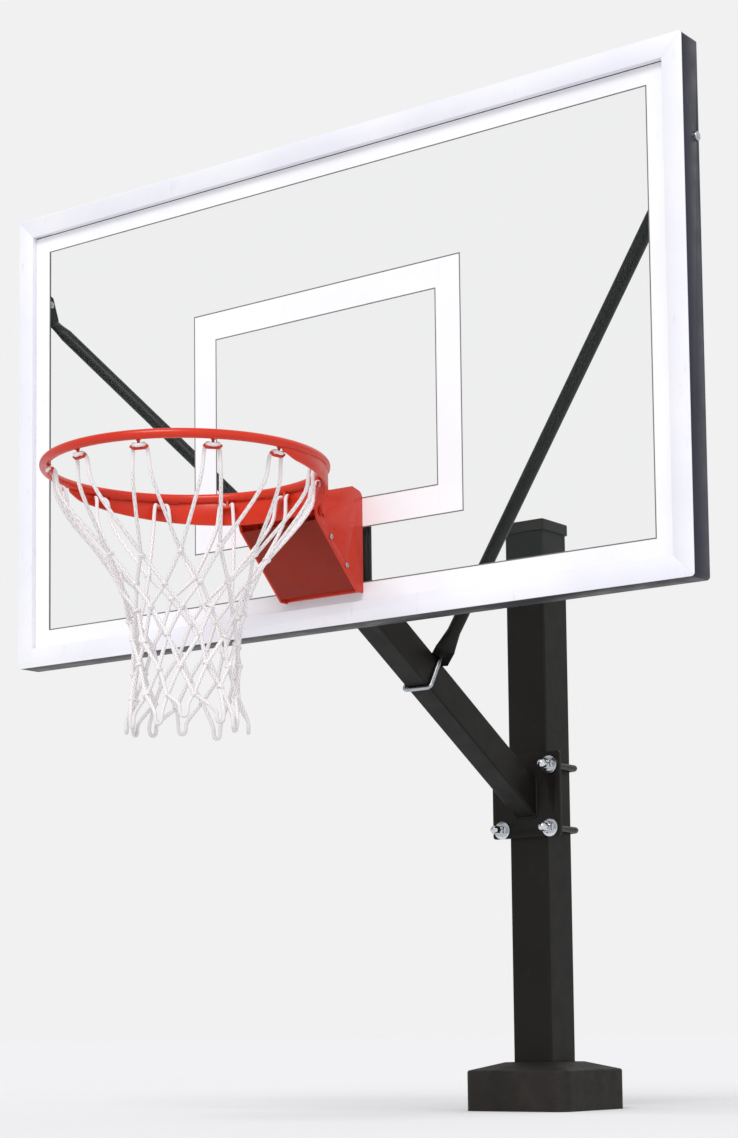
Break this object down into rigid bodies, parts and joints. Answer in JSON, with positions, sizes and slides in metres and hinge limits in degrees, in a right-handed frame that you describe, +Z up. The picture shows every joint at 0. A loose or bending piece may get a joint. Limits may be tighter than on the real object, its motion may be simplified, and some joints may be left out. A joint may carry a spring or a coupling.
{
  "type": "basketball hoop",
  "caption": "Deck-mounted basketball hoop: foot plate and square post, sloping clamped arm, framed glass backboard with struts, spring-back rim and cord net.",
  "frame": {"origin": "centre of the foot plate's underside, on the deck at the post's axis", "axes": "+Z up along the post; -Y towards the court, which the glass faces; +X to the right of a person who stands on the court and looks at the board"},
  "size_m": [1.534, 1.4566, 1.799],
  "materials": {
    "black_coat": "satin powder coat",
    "black_plastic": "fine-grained moulding",
    "slate_coat": "semi-gloss powder coat",
    "white_coat": "semi-gloss paint",
    "red_coat": "gloss powder coat",
    "chrome": "bright plated",
    "bright_zinc": "bright zinc plate",
    "dark_zinc": "black zinc plate",
    "spring_steel": "oiled spring wire",
    "key_alloy": "mill finish",
    "clear_glass": "tempered, polished",
    "black_rubber": "matte",
    "net_cord": "twisted nylon cord"
  },
  "bodies": {
    "post": {"base_plate": "black_coat", "base_cover": "black_plastic", "post_tube": "black_coat", "post_cap": "black_plastic"},
    "head": {"clamp_plate": "black_coat", "arm_tube": "black_coat", "carrier_plate": "black_coat", "carrier_pad": "black_rubber", "post_u_bolt_lower": "dark_zinc", "post_u_bolt_upper": "dark_zinc", "clamp_washers": "chrome", "dome_nuts": "chrome", "strut_left": "black_coat", "strut_right": "black_coat", "strut_u_bolt": "bright_zinc", "strut_nuts": "bright_zinc", "strut_top_bolts": "bright_zinc", "strut_top_nuts": "bright_zinc", "glass_panel": "clear_glass", "glass_bushes": "black_plastic", "glass_seal": "black_rubber", "frame_top": "slate_coat", "frame_bottom": "slate_coat", "frame_left": "slate_coat", "frame_right": "slate_coat", "trim_top": "white_coat", "trim_bottom": "white_coat", "trim_left": "white_coat", "trim_right": "white_coat", "corner_keys": "key_alloy", "housing_back": "red_coat", "housing_side_left": "red_coat", "housing_side_right": "red_coat", "spring_cover": "red_coat", "cover_screws": "bright_zinc", "rim_bolts": "bright_zinc", "rim_nuts": "bright_zinc", "hinge_pin": "red_coat", "pin_clips": "red_coat", "stop_bar": "red_coat", "spring_bridge": "red_coat", "guide_bolts": "bright_zinc", "springs": "spring_steel"},
    "ring": {"rim_rod": "red_coat", "rim_band": "red_coat", "rim_carrier": "red_coat", "net_hooks": "red_coat"},
    "net": {"net": "net_cord"}
  },
  "joints": [
    {"name": "height_slide", "type": "slide", "parent": "post", "child": "head", "axis": [0, 0, 1], "range_m": [-0.4, 0.4]},
    {"name": "rim_tilt", "type": "hinge", "parent": "head", "child": "ring", "pos_m": [0, -0.832, 1.067], "axis": [1, 0, 0], "range_deg": [0, 25], "stiffness_Nm_per_rad": 200, "springref_deg": -22.92, "deforming": ["springs"]},
    {"name": "net_hang", "type": "hinge", "parent": "ring", "child": "net", "pos_m": [0, -1.093, 1.109], "axis": [1, 0, 0], "range_deg": [-25, 0]}
  ],
  "couplings": [
    {"joint": "net_hang", "follows": "rim_tilt", "ratio": -1}
  ]
}
